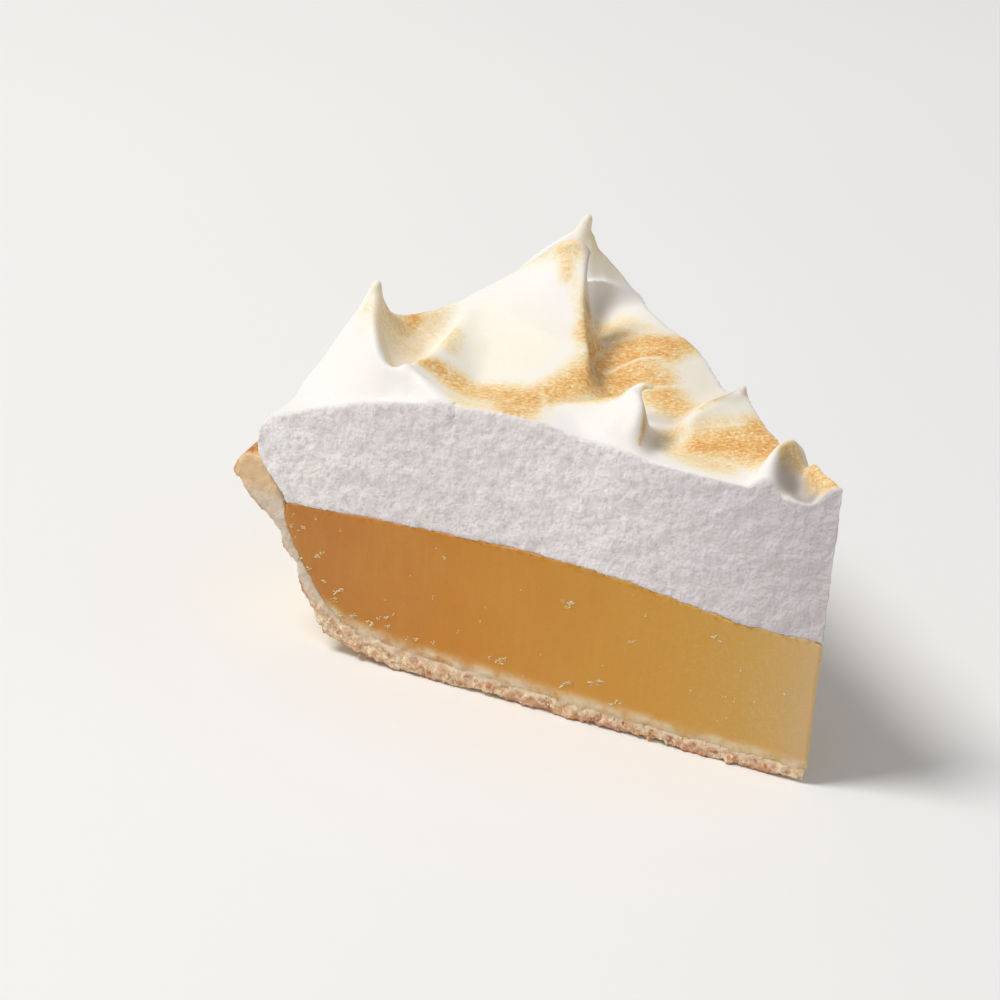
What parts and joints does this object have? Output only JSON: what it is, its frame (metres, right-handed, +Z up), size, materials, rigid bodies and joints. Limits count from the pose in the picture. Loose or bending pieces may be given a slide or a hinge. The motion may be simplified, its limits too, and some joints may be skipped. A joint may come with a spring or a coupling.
{
  "type": "slice of lemon meringue pie",
  "caption": "Wedge-shaped pie slice: pastry crust with a fluted lip, set lemon filling, and a tall layer of toasted meringue in swirled peaks.",
  "frame": {"origin": "on the surface the slice rests on, under the middle of its bounding box", "axes": "+Z up; +X towards the slice's tip, which was the middle of the pie; the lip of the crust is at -X, and the two cut faces look towards -Y and +Y"},
  "size_m": [0.115, 0.088, 0.0733],
  "materials": {
    "crust": "baked shortcrust pastry: tan crumb with small pits at the cuts, pale and moist where it meets the filling, golden brown on the lip",
    "lemon_filling": "set lemon filling: smooth translucent amber gel with a soft sheen and fine knife nicks, paler towards the tip",
    "meringue": "whipped meringue: satin white swirls toasted golden brown in the hollows and along the crests, rough white foam at the cuts"
  },
  "bodies": {
    "root": {"crust": "crust", "lemon_filling": "lemon_filling", "meringue": "meringue"}
  },
  "joints": []
}
